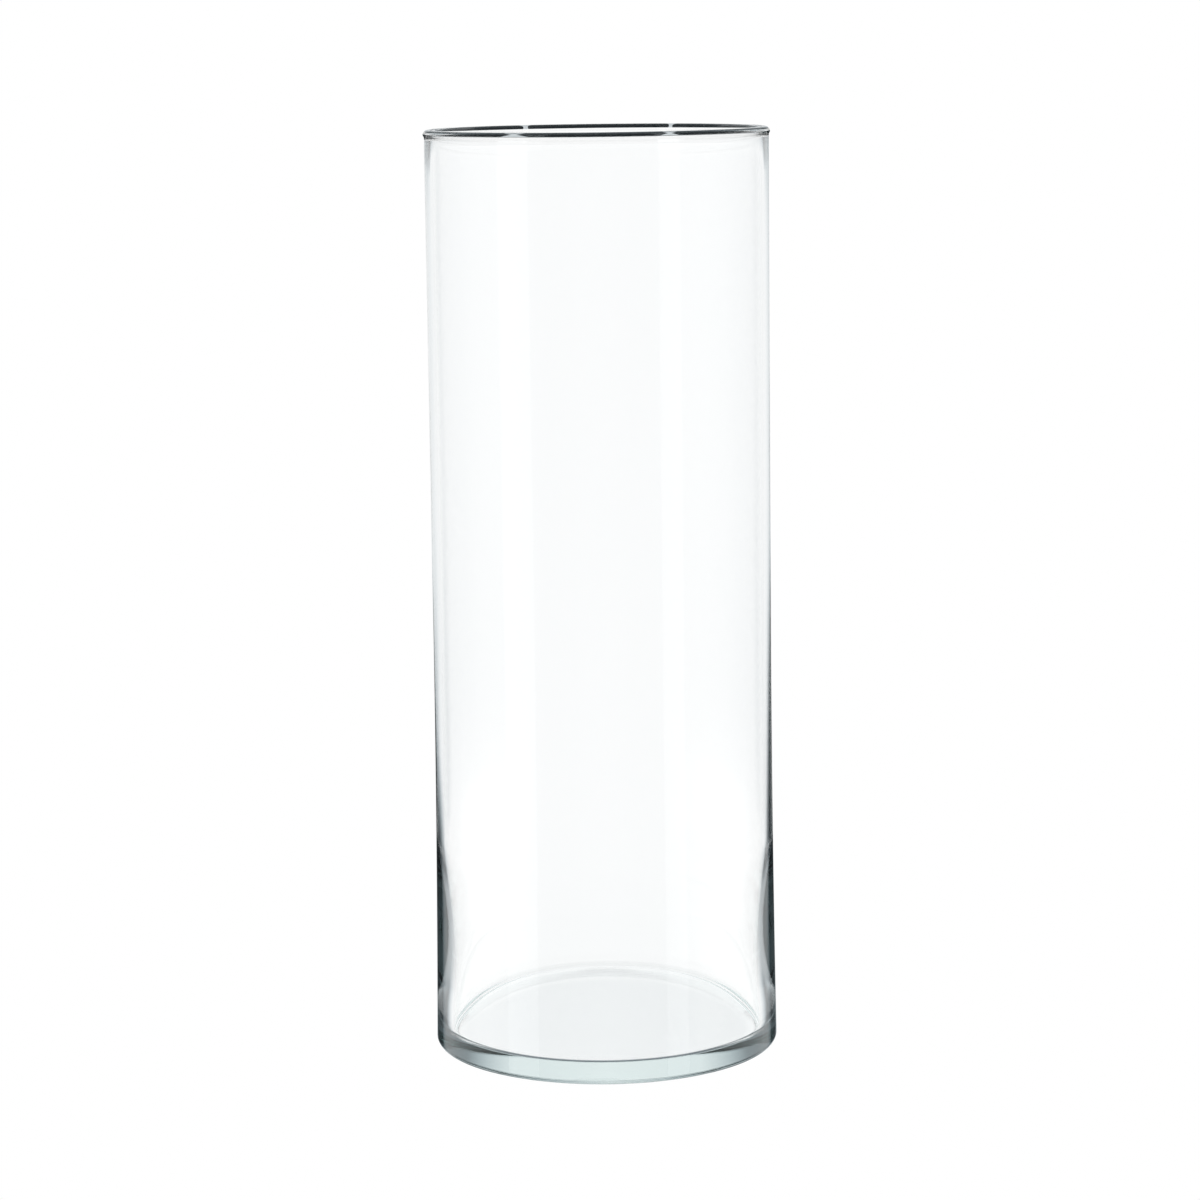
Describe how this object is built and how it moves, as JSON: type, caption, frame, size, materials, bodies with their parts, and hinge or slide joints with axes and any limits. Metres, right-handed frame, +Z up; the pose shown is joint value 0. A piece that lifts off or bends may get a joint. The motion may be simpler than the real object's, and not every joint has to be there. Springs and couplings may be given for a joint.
{
  "type": "cylinder vase",
  "caption": "Tall clear glass cylinder vase with a fire-polished lip, a wall that thickens towards the foot and a heavy base with a shallow hollow underneath.",
  "frame": {"origin": "centre of the ring that the vase stands on, on the surface that it stands on", "axes": "+Z up along the vase's own axis; the vase is round, so +X and +Y are any two directions square to it"},
  "size_m": [0.1016, 0.1016, 0.27],
  "materials": {
    "clear_glass": "fire-polished clear soda-lime glass with a faint blue-green tint that shows where it is thick"
  },
  "bodies": {
    "root": {"lip": "clear_glass", "side_wall": "clear_glass", "heel_ring": "clear_glass", "base_disc": "clear_glass"}
  },
  "joints": []
}
